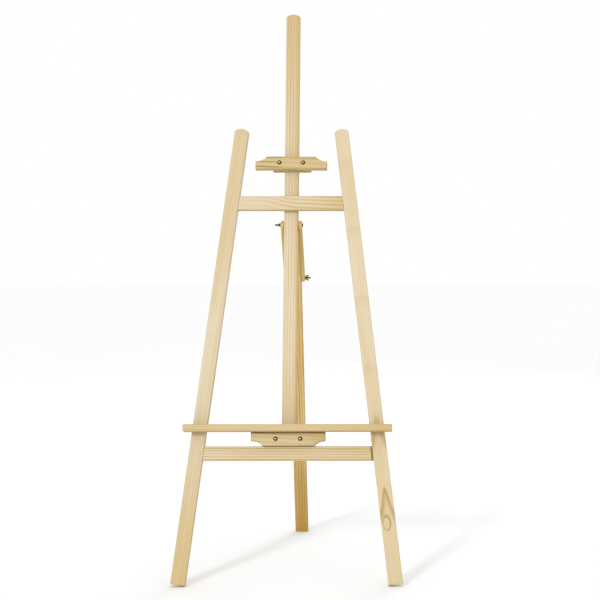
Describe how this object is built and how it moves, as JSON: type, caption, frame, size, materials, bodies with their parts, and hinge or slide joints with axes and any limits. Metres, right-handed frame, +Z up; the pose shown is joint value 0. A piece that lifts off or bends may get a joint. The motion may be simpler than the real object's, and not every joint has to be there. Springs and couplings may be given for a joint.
{
  "type": "tripod field easel",
  "caption": "Folding pine easel: two splayed legs and a central mast, a rear leg on a hinged fork, a sliding tray and a sliding canvas holder held by wing nuts.",
  "frame": {"origin": "middle of the footprint, on the floor, midway between the front and rear extremes", "axes": "+X to the user's right, +Y away from the user towards the rear leg, +Z up; the flat frame leans back 12.5 degrees"},
  "size_m": [0.5978, 0.6318, 1.506],
  "materials": {
    "pale_pine": "unfinished planed pine, satin",
    "warm_pine": "unfinished planed pine, slightly warmer, satin",
    "amber_pine": "unfinished planed pine, resinous amber, satin",
    "bronzed_brass": "dull bronzed brass plating",
    "zinc_steel": "yellowed zinc plate"
  },
  "bodies": {
    "frame": {"left_leg": "pale_pine", "right_leg": "pale_pine", "upper_crossbar": "pale_pine", "lower_crossbar": "pale_pine", "mast": "pale_pine", "mast_upper_left_screw": "zinc_steel", "mast_upper_right_screw": "zinc_steel", "mast_lower_left_screw": "zinc_steel", "mast_lower_right_screw": "zinc_steel"},
    "canvas_holder": {"canvas_holder_block": "warm_pine", "canvas_holder_clamp_plate": "warm_pine", "canvas_holder_left_bolt": "bronzed_brass", "canvas_holder_left_washer": "zinc_steel", "canvas_holder_right_bolt": "bronzed_brass", "canvas_holder_right_washer": "zinc_steel"},
    "tray_carriage": {"tray_rail": "pale_pine", "tray_bracket": "warm_pine", "tray_clamp_plate": "warm_pine", "tray_left_screw": "zinc_steel", "tray_right_screw": "zinc_steel", "tray_left_bolt": "bronzed_brass", "tray_left_washer": "zinc_steel", "tray_right_bolt": "bronzed_brass", "tray_right_washer": "zinc_steel"},
    "fork": {"fork_left_link": "pale_pine", "fork_right_link": "pale_pine", "fork_hinge_bolt": "bronzed_brass", "fork_hinge_washer": "zinc_steel", "knee_bolt": "bronzed_brass", "knee_washer": "zinc_steel"},
    "rear_leg": {"rear_leg": "amber_pine"},
    "wing_nut_canvas_left": {"canvas_holder_left_wing_nut": "bronzed_brass"},
    "wing_nut_canvas_right": {"canvas_holder_right_wing_nut": "bronzed_brass"},
    "wing_nut_tray_left": {"tray_left_wing_nut": "bronzed_brass"},
    "wing_nut_tray_right": {"tray_right_wing_nut": "bronzed_brass"},
    "wing_nut_fork_hinge": {"fork_hinge_wing_nut": "bronzed_brass"},
    "wing_nut_knee": {"knee_wing_nut": "bronzed_brass"}
  },
  "joints": [
    {"name": "canvas_holder_slide", "type": "slide", "parent": "frame", "child": "canvas_holder", "axis": [0, 0.2164, 0.9763], "range_m": [-0.073, 0.4]},
    {"name": "tray_slide", "type": "slide", "parent": "frame", "child": "tray_carriage", "axis": [0, 0.2164, 0.9763], "range_m": [0, 0.355]},
    {"name": "fork_swing", "type": "hinge", "parent": "frame", "child": "fork", "pos_m": [0, -0.08184, 0.92628], "axis": [1, 0, 0], "range_deg": [-34, 15]},
    {"name": "rear_leg_swing", "type": "hinge", "parent": "fork", "child": "rear_leg", "pos_m": [0, 0.0394, 0.77869], "axis": [1, 0, 0], "range_deg": [0, 18]},
    {"name": "wing_nut_canvas_left_spin", "type": "hinge", "parent": "canvas_holder", "child": "wing_nut_canvas_left", "pos_m": [-0.032, -0.02085, 1.08126], "axis": [0, 0.9763, -0.2164], "continuous": true},
    {"name": "wing_nut_canvas_right_spin", "type": "hinge", "parent": "canvas_holder", "child": "wing_nut_canvas_right", "pos_m": [0.032, -0.02085, 1.08126], "axis": [0, 0.9763, -0.2164], "continuous": true},
    {"name": "wing_nut_tray_left_spin", "type": "hinge", "parent": "tray_carriage", "child": "wing_nut_tray_left", "pos_m": [-0.032, -0.18127, 0.35763], "axis": [0, 0.9763, -0.2164], "continuous": true},
    {"name": "wing_nut_tray_right_spin", "type": "hinge", "parent": "tray_carriage", "child": "wing_nut_tray_right", "pos_m": [0.032, -0.18127, 0.35763], "axis": [0, 0.9763, -0.2164], "continuous": true},
    {"name": "wing_nut_fork_hinge_spin", "type": "hinge", "parent": "fork", "child": "wing_nut_fork_hinge", "pos_m": [-0.0301, -0.08184, 0.92628], "axis": [-1, 0, 0], "continuous": true},
    {"name": "wing_nut_knee_spin", "type": "hinge", "parent": "fork", "child": "wing_nut_knee", "pos_m": [0.0301, 0.0394, 0.77869], "axis": [1, 0, 0], "continuous": true}
  ]
}
